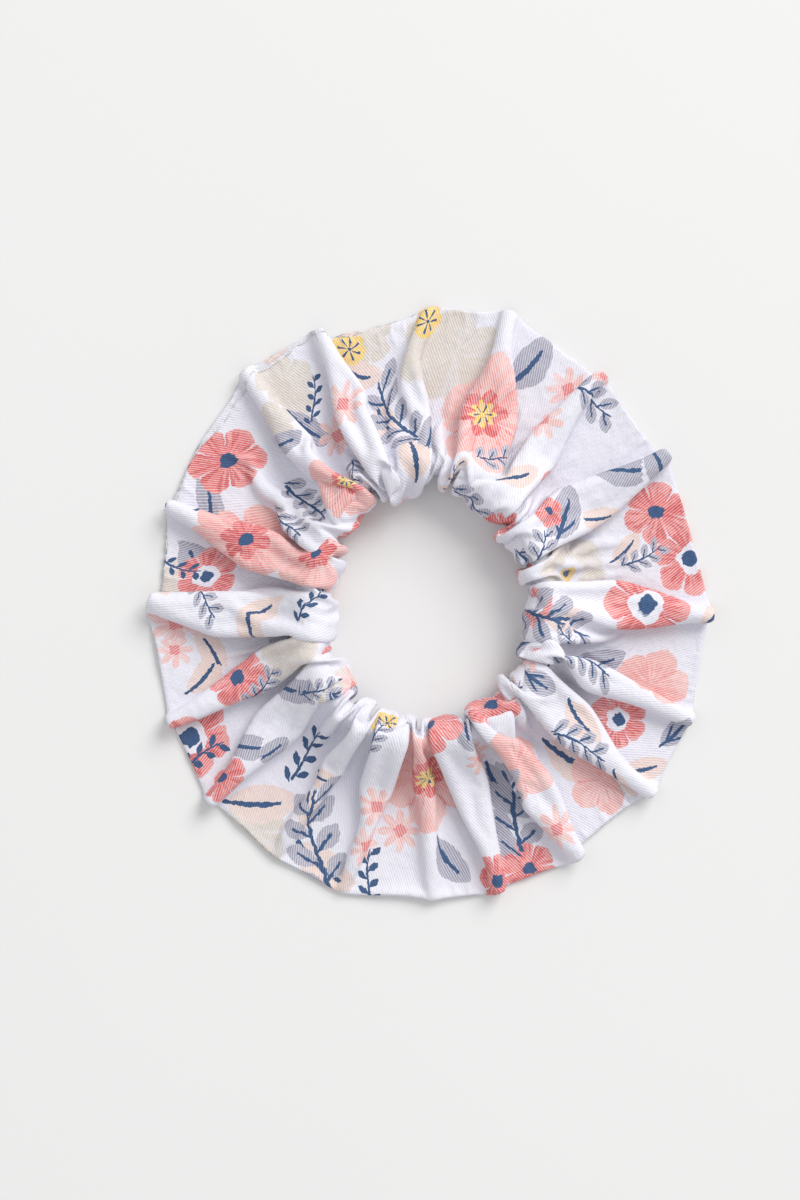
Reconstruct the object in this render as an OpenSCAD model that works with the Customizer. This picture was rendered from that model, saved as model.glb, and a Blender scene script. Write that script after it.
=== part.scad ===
// Hair scrunchie: a printed cotton sleeve gathered on a loop of flat elastic, lying flat.
// The ring's axis is Z, the table is z = 0, and each gather of the sleeve is a hollow wedge.

/* [Ring] */
// Outer diameter of the gathered ring
ring_d = 117; // [95:1:150]
// Diameter of the opening when the elastic is relaxed
opening_d = 45; // [36:1:56]
// Height of the puffed inner side above the table
ring_h = 18; // [14:0.5:24]
// Number of gathers in the sleeve
gathers = 16; // [16:4:16]

/* [Sleeve] */
// Effective wall of the gathered cloth: several thin layers lie together
cloth_t = 0.7; // [0.5:0.1:1.2]
// Radius of the sleeve's rolled outer edge
edge_r = 2.6; // [2.2:0.1:3]
// Radius of the puffed crest on the inner side
crest_r = 8; // [6:0.5:9]
// Radius where the inner side turns under to the table
under_r = 4; // [3:0.5:5]
// Width of the sewn allowance inside the outer edge
allowance_w = 5; // [3:0.5:7]
// Angle left free between two gathers, in degrees
gather_gap = 0.8; // [0.6:0.1:1.5]

/* [Elastic] */
// Width of the flat elastic, standing on its edge
elastic_w = 6; // [4:0.5:6]
// Thickness of the elastic
elastic_t = 1.1; // [0.8:0.1:1.2]
// Angle that the two overlapped ends cover, in degrees
lap_angle = 20; // [14:1:20]

/* [Thread] */
// Diameter of the sewing thread
thread_d = 0.3; // [0.2:0.05:0.4]
// Length of one stitch
stitch_l = 2.4; // [1.8:0.1:3]
// Distance from one stitch to the next
stitch_pitch = 3.2; // [3.1:0.1:4]
// Length of one hand stitch where the turning gap was closed
hand_stitch_l = 1.2; // [0.8:0.1:1.4]
// Distance from one hand stitch to the next
hand_pitch = 1.9; // [1.6:0.1:2.2]

/* [Hidden] */
$fn = 48;
cotton = "#f4f2f6";
coral = "#e58275";
elastic_white = "#efece4";
thread_white = "#fbfbf8";

ring_r = ring_d / 2;
opening_r = opening_d / 2;
gather_angle = 360 / gathers;
arc_steps = 6;             // straight sides on each quarter of the sleeve's section
thread_gap = 0.05;         // clearance between a thread and the cloth that it lies on
elastic_gap = 0.15;        // clearance between the elastic and the sleeve's inner wall
elastic_r = opening_r + cloth_t + elastic_gap;
elastic_z = under_r;
lap_at = 270;              // the overlapped ends lie inside gather_13
lap_root = 0.4;            // how far the lapped end is sunk into the band, so the two are one solid
lap_inset = 0.2;           // how far the lapped end's edges stand inside the band's edges
zigzags = 10;              // stitches across the lap
zigzag_margin = 0.8;       // from a zigzag's end to the elastic's edge
lap_margin = 2;            // degrees from the lap's end to its first stitch
allowance_z = edge_r;      // the allowance lies level with the middle of the rolled edge
allowance_in = ring_r - 2 * cloth_t - allowance_w;
allowance_out = ring_r - cloth_t / 2;
seam_r = ring_r - 2 * cloth_t - 0.6;   // the long seam's line of stitches
cross_seam_at = 315;       // the cross seam lies inside gather_15
cross_gap = 0.2;           // clearance between the cross seam's thread and the cloth
cross_clear = 0.3;         // share of each cross stitch's pitch left free
closing_at = 107;          // the turning gap was closed in gather_06
closing_count = 6;

// Points on a circle's arc, from angle a to angle b, in n straight sides.
function arc(centre, r, a, b, n = arc_steps) =
    [for (i = [0:n]) let (t = a + (b - a) * i / n) centre + r * [cos(t), sin(t)]];

// Angle of the sloping top, the common tangent of the crest's arc and the outer edge's arc.
crest_c = [opening_r + crest_r, ring_h - crest_r];
edge_c = [ring_r - edge_r, edge_r];
slope_l = norm(edge_c - crest_c);
slope_a = 90 + atan2(edge_c[1] - crest_c[1], edge_c[0] - crest_c[0]) + asin((crest_r - edge_r) / slope_l);

// Section of the sleeve in the r-z plane, moved inwards by inset all round.
function section(inset) = concat(
    arc(edge_c, edge_r - inset, -90, slope_a),
    arc(crest_c, crest_r - inset, slope_a, 180),
    arc([opening_r + under_r, under_r], under_r - inset, 180, 270));

// One hollow wedge of the sleeve, with the sewn allowance standing inside its outer edge.
module gather(n) {
    turn = (n - 1) * gather_angle - gather_angle / 2 + gather_gap / 2;
    color(n % 2 == 0 ? cotton : coral)
    rotate([0, 0, turn])
    rotate_extrude(angle = gather_angle - gather_gap) {
        difference() {
            polygon(section(0));
            polygon(section(cloth_t));
        }
        translate([allowance_in, allowance_z - cloth_t / 2])
            square([allowance_out - allowance_in, cloth_t]);
    }
}

// Flat elastic joined into a loop: the far end lies over the near end on the outside.
module elastic_band() {
    color(elastic_white) {
        rotate([0, 0, lap_at])
            rotate_extrude()
                translate([elastic_r, elastic_z])
                    square([elastic_t, elastic_w]);
        rotate([0, 0, lap_at - lap_angle / 2])
            rotate_extrude(angle = lap_angle)
                translate([elastic_r + elastic_t - lap_root, elastic_z + lap_inset])
                    square([elastic_t + lap_root, elastic_w - 2 * lap_inset]);
    }
}

// One straight stitch from point a to point b.
module stitch(a, b) {
    d = b - a;
    translate(a)
        rotate([0, acos(d[2] / norm(d)), atan2(d[1], d[0])])
            cylinder(h = norm(d), d = thread_d, $fn = 16);
}

// A point on the ring, at an angle round Z.
function on_ring(r, a, z) = [r * cos(a), r * sin(a), z];

// Zigzag that holds the elastic's overlapped ends together.
module elastic_lap_stitches() {
    r = elastic_r + 2 * elastic_t + thread_d / 2 + thread_gap;
    step = (lap_angle - 2 * lap_margin) / zigzags;
    low = elastic_z + zigzag_margin;
    high = elastic_z + elastic_w - zigzag_margin;
    color(thread_white)
    for (i = [0:zigzags - 1]) {
        a = lap_at - lap_angle / 2 + lap_margin + step * (i + 0.1);
        b = a + step * 0.8;
        stitch(on_ring(r, a, i % 2 == 0 ? low : high), on_ring(r, b, i % 2 == 0 ? high : low));
    }
}

// Machine stitches along the whole outer seam, on top of the allowance.
module long_seam_stitches() {
    z = allowance_z + cloth_t / 2 + thread_d / 2 + thread_gap;
    count = floor(2 * PI * seam_r / stitch_pitch);
    half = stitch_l / (2 * PI * seam_r) * 180;
    color(thread_white)
    for (i = [0:count - 1]) {
        a = 360 / count * i;
        stitch(on_ring(seam_r, a - half, z), on_ring(seam_r, a + half, z));
    }
}

// Stitches that join the sleeve's two ends, round the inside of one gather.
module cross_seam_stitches() {
    inside = section(cloth_t + thread_d / 2 + cross_gap);
    count = len(inside);
    color(thread_white)
    rotate([0, 0, cross_seam_at])
        rotate([90, 0, 0])
            for (i = [0:count - 1]) {
                a = inside[i];
                b = inside[(i + 1) % count];
                pieces = max(1, floor(norm(b - a) / stitch_pitch));
                for (k = [0:pieces - 1]) {
                    p = a + (b - a) * (k + cross_clear / 2) / pieces;
                    q = a + (b - a) * (k + 1 - cross_clear / 2) / pieces;
                    if (norm(q - p) > 2 * thread_d && is_free(p) && is_free(q))
                        stitch([p[0], p[1], 0], [q[0], q[1], 0]);
                }
            }
}

// True where neither the sewn allowance nor the elastic stands in the way of the cross seam.
function is_free(p) =
    !(p[0] > allowance_in - cloth_t && p[1] < 2 * allowance_z) &&
    !(p[0] < elastic_r + elastic_t + 2 * thread_d
      && p[1] > elastic_z - 2 * thread_d && p[1] < elastic_z + elastic_w + 2 * thread_d);

// Hand stitches on the outside, where the gap for turning the sleeve was closed.
module closing_stitches() {
    out = edge_r + thread_d / 2 + thread_gap;
    place = edge_c + out * [cos(slope_a), sin(slope_a)];
    step = hand_pitch / (2 * PI * place[0]) * 360;
    half = hand_stitch_l / (2 * PI * place[0]) * 180;
    color(thread_white)
    for (i = [0:closing_count - 1]) {
        a = closing_at + step * i;
        stitch(on_ring(place[0], a - half, place[1]), on_ring(place[0], a + half, place[1]));
    }
}

function gather_name(n) = str("gather_", n < 10 ? "0" : "", n);

for (n = [1:gathers])
    gather(n);
elastic_band();
elastic_lap_stitches();
long_seam_stitches();
cross_seam_stitches();
closing_stitches();
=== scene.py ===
"""Looks of the gathered hair scrunchie: a printed cotton sleeve on a loop of braided elastic, lying flat.

The sleeve starts as a long flat tube laid in a wide ring. A cloth simulation draws it in on its elastic,
and the floral print is then laid out on the flat cloth, so that it folds with the gathers.
Lengths in the cloth part are millimetres, and pieces are made in metres."""

import math

import bpy
import numpy as np
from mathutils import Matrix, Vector
from mathutils.bvhtree import BVHTree


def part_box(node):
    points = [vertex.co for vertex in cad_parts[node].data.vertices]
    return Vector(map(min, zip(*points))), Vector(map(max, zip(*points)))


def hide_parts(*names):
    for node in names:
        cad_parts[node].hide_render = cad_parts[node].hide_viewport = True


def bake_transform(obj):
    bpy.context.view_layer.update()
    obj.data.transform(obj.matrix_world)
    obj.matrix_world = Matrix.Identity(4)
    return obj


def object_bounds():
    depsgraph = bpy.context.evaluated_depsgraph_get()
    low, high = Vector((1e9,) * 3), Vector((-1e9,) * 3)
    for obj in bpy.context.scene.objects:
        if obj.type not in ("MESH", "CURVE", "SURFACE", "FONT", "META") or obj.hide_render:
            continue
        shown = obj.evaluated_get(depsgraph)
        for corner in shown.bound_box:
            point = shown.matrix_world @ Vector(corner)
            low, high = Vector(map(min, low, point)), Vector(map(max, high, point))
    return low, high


bl_info = {
    "name": "Gathered scrunchie",
    "version": (1, 0, 0),
    "blender": (4, 5, 0),
    "location": "3D View > Sidebar > Scrunchie",
    "description": "Makes a printed cotton scrunchie, gathered on its elastic by a cloth simulation",
    "category": "Add Mesh",
}

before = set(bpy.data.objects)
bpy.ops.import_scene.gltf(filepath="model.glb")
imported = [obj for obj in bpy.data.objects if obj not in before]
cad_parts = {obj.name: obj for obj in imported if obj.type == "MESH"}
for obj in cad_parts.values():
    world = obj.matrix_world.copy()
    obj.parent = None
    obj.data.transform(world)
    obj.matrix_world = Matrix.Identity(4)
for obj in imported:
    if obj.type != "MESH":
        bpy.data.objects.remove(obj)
CAD_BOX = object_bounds()
MM = 0.001
RING_R = CAD_BOX[1].x / MM
ELASTIC_LOW, ELASTIC_HIGH = (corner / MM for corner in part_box("elastic_band"))
ELASTIC_Z = (ELASTIC_LOW.z + ELASTIC_HIGH.z) / 2
ELASTIC_W = ELASTIC_HIGH.z - ELASTIC_LOW.z


# ---------------------------------------------------------------- settings

def length(name, text, default, low, high):
    """A length in millimetres, shown in the panel."""
    return bpy.props.FloatProperty(name=name, description=text, default=default, min=low, max=high)


def ink(name, red, green, blue):
    """A colour of the print, given as the 0 to 255 values that it shows on a screen."""
    return bpy.props.FloatVectorProperty(
        name=name, description=f"{name} of the printed cotton", subtype="COLOR", size=3, min=0, max=1,
        default=tuple(screen_to_linear(value / 255) for value in (red, green, blue)))


def screen_to_linear(value):
    """A screen value from 0 to 1 as linear light."""
    return value / 12.92 if value <= 0.04045 else ((value + 0.055) / 1.055) ** 2.4


class ScrunchieCloth(bpy.types.PropertyGroup):
    """Sizes of the sleeve and its elastic, in millimetres"""

    strip_length: length("Strip length", "Length of the cotton strip round the ring", 440, 400, 560)
    tube_round: length("Tube round", "Way round the sewn tube", 81, 70, 90)
    allowance: length("Seam allowance", "Cloth turned in at each long edge", 5.5, 3, 7)
    elastic_r: length("Elastic radius", "Radius of the relaxed elastic's middle line", 25.2, 22, 28)
    oval: bpy.props.FloatProperty(name="Oval", description="How far the relaxed loop is from round",
                                  default=0.08, min=0, max=0.12)
    crest: length("Crest", "Height that the gathers reach over the elastic", 16.5, 12, 20)
    rim: length("Rim height", "Height that the folds reach at the outer edge", 4.2, 3, 10)
    seam_drift: length("Seam drift", "How far the long seam rolls on top at the upper left", 2.2, 0, 4)
    seed: bpy.props.IntProperty(name="Seed", description="Chooses another set of folds", default=3, min=0)


class ScrunchieInks(bpy.types.PropertyGroup):
    """Colours of the printed cotton"""

    cloth: ink("White", 234, 233, 242)
    coral: ink("Coral", 231, 96, 84)
    coral_dark: ink("Dark coral", 210, 54, 42)
    coral_pale: ink("Pale coral", 240, 143, 131)
    peach: ink("Peach", 242, 174, 162)
    pink: ink("Pale pink", 247, 204, 196)
    beige: ink("Beige", 216, 204, 187)
    yellow: ink("Yellow", 246, 202, 52)
    grey: ink("Grey", 158, 156, 172)
    tan: ink("Tan", 235, 208, 195)
    navy: ink("Navy", 6, 70, 118)


class ScrunchieStage(bpy.types.PropertyGroup):
    """The table, the light and the camera"""

    view_high: bpy.props.FloatProperty(
        name="View height", description="Height that the picture takes in at the ring",
        default=0.2345, min=0.1, max=1, unit="LENGTH")
    lens: bpy.props.FloatProperty(
        name="Lens", description="Focal length in millimetres", default=85, min=35, max=200)
    aim: bpy.props.FloatVectorProperty(
        name="Aim", description="Point that the camera looks straight down at",
        size=2, default=(-0.0055, 0.001), subtype="XYZ", unit="LENGTH")
    window: bpy.props.FloatProperty(
        name="Window light", description="Power of the large soft light", default=60.0, min=0, max=200)
    room: bpy.props.FloatProperty(
        name="Room light", description="Strength of the even light", default=0.67, min=0, max=5)


# ---------------------------------------------------------------- cloth

GRID = (320, 56)                 # cloth points along the strip and round the tube
SPACE = 1.35                     # least distance between two layers' points
FINE_SPACE = 0.85                # the same on the doubled grid
CORE_R = 2.2                     # half thickness of the room that the elastic takes in the tube
CORE_TALL = 1.65                 # that room's height, as a share of its thickness
FACE = 0.9                       # how far the tube's innermost row may face up or down, in radians
START_HALF_HIGH = 2.6            # half height of the flat tube before it is drawn in
START_JITTER = 0.12              # how far its points lie off at random
FOLDS = range(8, 52)             # how many low ripples lie round it: they decide where folds begin
FOLD_HIGH = 0.15                 # how high each of those ripples is
CREASE_GAP = (8, 18)             # least and greatest length of cloth between two creases at the elastic
CREASE_WARP = 6                  # how unevenly the creases are shared out round the elastic
DRAW_IN_STEPS, SETTLE_STEPS, FINE_STEPS = 260, 80, 48
PASSES = 8                       # constraint passes in each step
SLANT, BEND, WIDE_BEND = 0.25, 0.10, 0.03   # how stiffly the cloth resists slanting and bending
KEPT_SPEED = 0.9                 # share of its speed that the cloth keeps from one step to the next
FALL = 0.02                      # how far a resting point falls in one step
FASTEST = 0.6                    # longest way that a point may move in one step
TABLE_GRIP = 0.5                 # share of its speed that cloth keeps where it slides on the table
EASE = (0.24, 0.016)             # extra length that makes fine wrinkles, at the elastic and at the outer edge
WRINKLES = range(60, 150)        # how many fine ripples lie round the ring at the start of the fine steps


def close_pairs(points, reach):
    """Pairs of points nearer than reach, found through a grid of cells."""
    cell = np.floor(points / reach).astype(np.int64)
    cell -= cell.min(0) - 1
    size = cell.max(0) + 2
    key = (cell[:, 0] * size[1] + cell[:, 1]) * size[2] + cell[:, 2]
    order = np.argsort(key, kind="stable")
    ranked = key[order]
    steps = [(a, b, c) for a in (-1, 0, 1) for b in (-1, 0, 1) for c in (-1, 0, 1)]
    first, second = [], []
    for a, b, c in [s for s in steps if s >= (0, 0, 0)]:
        shift = (a * size[1] + b) * size[2] + c
        low = np.searchsorted(ranked, ranked + shift, "left")
        high = np.searchsorted(ranked, ranked + shift, "right")
        if shift == 0:
            low = np.arange(len(ranked)) + 1
        count = np.maximum(high - low, 0)
        run = np.arange(count.sum()) - np.repeat(np.cumsum(count) - count, count)
        first.append(np.repeat(np.arange(len(ranked)), count))
        second.append(np.repeat(low, count) + run)
    i, j = order[np.concatenate(first)], order[np.concatenate(second)]
    near = ((points[i] - points[j]) ** 2).sum(1) < reach * reach
    return i[near], j[near]


def elastic_radius(oval, angle, mean):
    """Radius of the elastic's middle line, which is slightly oval, at an angle."""
    return mean * (1 - oval * np.cos(2 * angle) + 0.4 * oval * np.cos(3 * angle + 1))


class TubeCloth:
    """A cloth tube joined into a ring. It keeps the lengths of the flat cloth as its elastic draws it in."""

    def __init__(self, settings):
        self.around, self.across = GRID
        self.step_u = settings.strip_length / self.around
        self.step_v = settings.tube_round / self.across
        self.settings, self.space = settings, SPACE
        self.ease = np.ones(self.across)
        draw = np.random.default_rng(settings.seed)
        u = np.arange(self.around) / self.around * math.tau
        v = np.arange(self.across) / self.across * math.tau
        self.wide_r = settings.strip_length / math.tau
        r = self.wide_r - np.cos(v) * settings.tube_round / 4 * 0.97 + draw.normal(0, START_JITTER, GRID)
        z = ELASTIC_Z + np.sin(v) * START_HALF_HIGH + draw.normal(0, START_JITTER, GRID)
        phase, height = draw.uniform(0, math.tau, 60), draw.normal(0, 1, 60)
        ripple = sum(height[k] * np.cos(count * u + phase[k]) for k, count in enumerate(FOLDS))
        z += FOLD_HIGH * ripple[:, None]
        self.at = np.stack([r * np.cos(u)[:, None], r * np.sin(u)[:, None], z], -1)
        self.set_creases(draw, u)

    def set_creases(self, draw, u):
        """Chooses where the cloth is held in a crease against the elastic."""
        stations = np.cumsum(draw.uniform(*CREASE_GAP, 400))
        count = np.searchsorted(stations, self.settings.strip_length)
        stations = stations[:count] / stations[count - 1] * self.settings.strip_length
        warp = sum(draw.normal(0, 1) / k * np.sin(k * u + draw.uniform(0, 6.28)) for k in (2, 3, 4, 5, 7))
        self.crease = np.unique(np.round(stations / self.step_u).astype(int) % self.around)
        self.crease_angle = (u + CREASE_WARP * warp * math.tau / self.around)[self.crease]

    def keep(self, axis, span, rest, stiff, only_push=False, slant=0):
        """Moves points span apart along an axis of the cloth to their distance in the flat cloth."""
        n = self.at.shape[axis]
        start = np.arange(n)
        for chosen in (start % (2 * span) < span, start % (2 * span) >= span):
            a = start[chosen]
            b = (a + span) % n
            here = self.at[a] if axis == 0 else self.at[:, a]
            there = self.at[b] if axis == 0 else self.at[:, b]
            if slant:
                there = np.roll(there, -slant, axis=1)
            gap = there - here
            now = np.sqrt((gap * gap).sum(-1))
            error = (now - rest) / np.maximum(now, 1e-6)
            if only_push:
                error = np.minimum(error, 0)
            k = stiff if np.isscalar(stiff) else stiff[a]
            move = (0.5 * k * error)[..., None] * gap
            here, there = here + move, there - move
            if slant:
                there = np.roll(there, slant, axis=1)
            if axis == 0:
                self.at[a], self.at[b] = here, there
            else:
                self.at[:, a], self.at[:, b] = here, there

    def clear_elastic(self, mean):
        """Keeps the cloth out of the elastic's room, and the tube's inner rows on its inner side."""
        r = np.hypot(self.at[..., 0], self.at[..., 1])
        middle = elastic_radius(self.settings.oval, np.arctan2(self.at[..., 1], self.at[..., 0]), mean)
        out, up = r - middle, (self.at[..., 2] - ELASTIC_Z) / CORE_TALL
        depth = np.hypot(out, up)
        grow = CORE_R / np.clip(depth, 1e-3, CORE_R)
        out, up, depth = out * grow, up * grow, depth * grow
        # a row may face as far round the elastic as its cloth reaches, so that no row passes through it
        reach = int(2.1 * CORE_R / self.step_v)
        for row in range(-reach, reach + 1):
            wrap = row * self.step_v / CORE_R
            middle_way, half = wrap / 2, FACE + abs(wrap) / 2
            turn = np.arctan2(up[:, row], -out[:, row]) - middle_way
            turn = (turn + math.pi) % math.tau - math.pi
            facing = middle_way + np.clip(turn, -half, half)
            out[:, row], up[:, row] = -depth[:, row] * np.cos(facing), depth[:, row] * np.sin(facing)
        scale = (middle + out) / np.maximum(r, 1e-6)
        self.at[..., :2] *= scale[..., None]
        self.at[..., 2] = ELASTIC_Z + up * CORE_TALL

    def hold_creases(self, mean):
        """Draws each crease against the elastic: on its inside, above it and below it."""
        middle = elastic_radius(self.settings.oval, self.crease_angle, mean)
        side = 2 * self.across // GRID[1]
        for row, out, up in ((0, 1.0, 0.0), (side, 0.6, 1.28), (-side, 0.6, -1.28)):
            r = middle - CORE_R * out
            goal = np.stack([r * np.cos(self.crease_angle), r * np.sin(self.crease_angle),
                             np.full(len(r), ELASTIC_Z + up * CORE_R)], -1)
            self.at[self.crease, row % self.across] += (goal - self.at[self.crease, row % self.across]) * 0.5

    def find_contacts(self):
        """Lists points of different layers that are close, leaving out neighbours in the cloth."""
        i, j = close_pairs(self.at.reshape(-1, 3), self.space * 1.35)
        (iu, iv), (ju, jv) = np.divmod(i, self.across), np.divmod(j, self.across)
        du, dv = np.abs(iu - ju), np.abs(iv - jv)
        du, dv = np.minimum(du, self.around - du), np.minimum(dv, self.across - dv)
        apart = (du * self.step_u) ** 2 + (dv * self.step_v) ** 2 > (self.space * 1.5) ** 2
        self.contacts = i[apart], j[apart]

    def part_layers(self):
        """Pushes layers apart where they touch."""
        i, j = self.contacts
        points = self.at.reshape(-1, 3)
        gap = points[j] - points[i]
        square = (gap * gap).sum(1)
        hit = square < self.space ** 2
        if not hit.any():
            return
        i, j = i[hit], j[hit]
        now = np.sqrt(np.maximum(square[hit], 1e-8))
        move = gap[hit] * (0.5 * (now - self.space) / now)[:, None]
        touches = np.bincount(i, minlength=len(points)) + np.bincount(j, minlength=len(points))
        share = 1 / np.sqrt(np.maximum(touches, 1))
        for k in range(3):
            pushed = np.bincount(i, move[:, k], len(points)) - np.bincount(j, move[:, k], len(points))
            points[:, k] += pushed * share

    def keep_order(self):
        """Keeps the top of the tube over its underside where the two lie on one another near the rim."""
        seam, count = self.across // 2, self.across // 4
        top, under = self.at[:, seam - count:seam][:, ::-1], self.at[:, seam + 1:seam + 1 + count]
        aside = np.hypot(top[..., 0] - under[..., 0], top[..., 1] - under[..., 1])
        need = np.minimum(self.space * 0.8, 0.6 * self.step_v * np.arange(1, count + 1))
        lift = np.where(aside < self.space, np.maximum(need - (top[..., 2] - under[..., 2]), 0), 0)
        top[..., 2] += lift / 2
        under[..., 2] -= lift / 2

    def settle_on_table(self, mean):
        """Keeps the cloth above the table, and pats it down from above."""
        z = np.maximum(self.at[..., 2], self.space / 2)
        crest, rim = self.settings.crest, self.settings.rim
        out = np.clip((np.hypot(self.at[..., 0], self.at[..., 1]) - mean) / (RING_R * 0.65), 0, 1)
        top = crest + (rim - crest) * out
        self.at[..., 2] = np.where(z > top, z - (z - top) * 0.3, z)

    def advance(self, mean, speed, look):
        """Moves the cloth on by one step and returns its new speed. It bends freely at its outer edge."""
        seam = self.across // 2
        rows = np.arange(self.across)
        bend = np.where((rows < seam) & (rows > seam - 2), 0, BEND)
        wide_bend = np.where((rows < seam) & (rows > seam - 4), 0, WIDE_BEND)
        slant = np.hypot(self.step_u * self.ease, self.step_v)
        along = self.step_u * self.ease
        before = self.at.copy()
        self.at = self.at + speed * KEPT_SPEED
        self.at[..., 2] -= FALL
        if look:
            self.find_contacts()
        for turn in range(PASSES):
            self.keep(0, 1, along, 1)
            self.keep(1, 1, self.step_v, 1)
            self.keep(0, 1, slant, SLANT, slant=1)
            self.keep(0, 1, slant, SLANT, slant=-1)
            self.keep(0, 2, 2 * along, BEND, only_push=True)
            self.keep(1, 2, 2 * self.step_v, bend, only_push=True)
            self.keep(0, 4, 4 * self.step_u, WIDE_BEND, only_push=True)
            self.keep(1, 4, 4 * self.step_v, wide_bend, only_push=True)
            self.clear_elastic(mean)
            self.hold_creases(mean)
            if turn % 2 == 0:
                self.part_layers()
            self.keep_order()
            self.settle_on_table(mean)
        speed = self.at - before
        fast = np.sqrt((speed * speed).sum(-1, keepdims=True))
        speed *= np.minimum(1, FASTEST / np.maximum(fast, 1e-6))
        speed[self.at[..., 2] < self.space / 2 + 0.05, :2] *= TABLE_GRIP
        return speed

    def double(self):
        """Doubles the grid both ways, with extra length along the strip that must go into wrinkles."""
        self.at = refine(refine(self.at, 0), 1)
        self.around, self.across = self.at.shape[:2]
        self.step_u, self.step_v, self.space = self.step_u / 2, self.step_v / 2, FINE_SPACE
        self.crease = self.crease * 2
        draw = np.random.default_rng(self.settings.seed + 50)
        out = 1 - np.abs(np.arange(self.across) / self.across * 2 - 1)
        self.ease = 1 + EASE[1] + (EASE[0] - EASE[1]) * (1 - out) ** 2
        wave = np.zeros((self.around, self.across))
        u = np.arange(self.around)[:, None] / self.around * math.tau
        v = np.arange(self.across)[None, :] / self.across * math.tau
        for count in WRINKLES:
            lean = draw.integers(-2, 3)
            wave += draw.normal() * np.cos(count * u + lean * v + draw.uniform(0, math.tau))
        self.at += surface_normals(self.at) * (wave * 0.016)[..., None]

    def draw_in(self):
        """Shrinks the elastic step by step, lets finer wrinkles form, and returns the cloth's points."""
        open_r = self.wide_r - self.settings.tube_round / 4 + CORE_R
        speed = np.zeros_like(self.at)
        for step in range(DRAW_IN_STEPS + SETTLE_STEPS):
            t = min(1, step / DRAW_IN_STEPS)
            mean = open_r + (self.settings.elastic_r - open_r) * t * t * (3 - 2 * t)
            speed = self.advance(mean, speed, step % 3 == 0)
        self.double()
        speed = np.zeros_like(self.at)
        for step in range(FINE_STEPS):
            speed = self.advance(mean, speed, step % 3 == 0)
        return self.at


def unit(vectors):
    """Vectors of length one."""
    return vectors / np.maximum(np.linalg.norm(vectors, axis=-1, keepdims=True), 1e-9)


def surface_normals(points):
    """Normals of a grid of points that lies as the sleeve's cloth does, pointing out of the tube."""
    return unit(np.cross(np.gradient(points, axis=1), np.gradient(points, axis=0)))


def refine(grid, axis):
    """Doubles a closed grid of points along an axis, smoothly, as a cubic spline does."""
    before, after = np.roll(grid, 1, axis), np.roll(grid, -1, axis)
    even, odd = (before + 6 * grid + after) / 8, (grid + after) / 2
    shape = list(grid.shape)
    shape[axis] *= 2
    return np.stack([even, odd], axis + 1).reshape(shape)


def row_at(grid, row):
    """Each station's point at its own row, which may be a fraction."""
    low = np.floor(row).astype(int)
    part = (row - low)[:, None]
    station, across = np.arange(len(grid)), grid.shape[1]
    return grid[station, low % across] * (1 - part) + grid[station, (low + 1) % across] * part


# ---------------------------------------------------------------- print layout

# Each motif is (angle, radius, size, turn, variant): its place on the ring in degrees and millimetres,
# its half size in millimetres, its turn in degrees, and which form of the drawing it takes.
POPPIES = [
    (209, 54, 7.5, 0, 1), (220, 53, 4.5, 40, 0), (201, 40, 5.5, 20, 0), (0, 43, 7.5, 30, 1),
    (22, 49, 5.8, 0, 0), (10, 53, 6.5, 20, 1), (329, 44, 5, 10, 1), (144, 49, 6.5, 0, 0),
    (284, 56, 5, 0, 0), (291, 56, 5, 50, 0), (310, 18, 4.5, 30, 0), (302, 23, 4.5, 0, 0),
    (358, 21, 3.6, 0, 1), (38, 30, 3, 0, 0),
]
ANEMONES = [
    (74, 39, 11, 10, 1), (270, 34, 10.5, 0, 1), (123, 29, 7.5, 0, 1), (160, 38, 10.5, 20, 0),
    (155, 24, 7.5, 40, 0), (299, 36, 7.5, 0, 2), (340, 47, 6.5, 40, 2), (315, 49, 6, 0, 2),
]
STARS = [
    (113, 43, 4, 0, 0), (118, 38, 4, 20, 0), (57, 51, 4, 10, 0), (58, 43, 4, 0, 0), (184, 50, 5, 0, 0),
    (256, 41, 4, 0, 0), (263, 45, 4, 30, 0), (256, 49, 4, 15, 0), (190, 55, 3.5, 0, 0), (300, 51, 4, 0, 0),
]
BLOTCHES = [
    (91, 50, 8, 0, 0), (84, 50, 8, 30, 0), (13, 28, 8.5, 0, 1), (232, 61, 7, 0, 0), (124, 52, 6.5, 0, 0),
    (103, 54, 5, 0, 0), (200, 29, 6, 0, 0), (65, 17, 5, 0, 0), (130, 47, 4, 20, 0),
]
YELLOWS = [(90, 56, 3.3, 0, 0), (107, 57, 3, 0, 0)]
LEAVES = [
    (35, 47, 6, -10, 0), (31, 53, 5.5, 105, 0), (34, 32, 5.5, 70, 2), (67, 52, 6, 60, 0),
    (90, 33, 4.5, 60, 0), (292, 40, 5.5, -50, 0), (288, 50, 5.5, -60, 0), (275, 51, 5, -50, 0),
    (124, 42, 4.5, -30, 0), (132, 43, 4, 20, 0), (155, 48, 5.5, 70, 0), (230, 51, 6.5, 5, 1),
    (249, 56, 6.5, -30, 1), (314, 43, 6.5, -20, 1), (187, 35, 5, -60, 1), (182, 33, 4.5, 40, 1),
    (197, 46, 4.5, 60, 1), (192, 44, 4.5, 120, 1), (27, 38, 4, 0, 1), (16, 41, 3.5, 50, 1),
    (107, 48, 5, -15, 1), (103, 37, 4.5, -60, 1), (96, 30, 5, 95, 1), (355, 27, 4.5, -10, 1),
    (212, 31, 4.5, -20, 0), (262, 27, 3.5, 80, 0), (55, 31, 4, 20, 1), (238, 40, 3.5, -20, 1),
    (342, 36, 4.5, 10, 0), (71, 22, 4.5, 80, 0), (323, 38, 4.5, -40, 1), (240, 47, 4, -80, 1),
    (223, 42, 3.5, 30, 0), (218, 45, 4.5, -20, 0),
]
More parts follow.
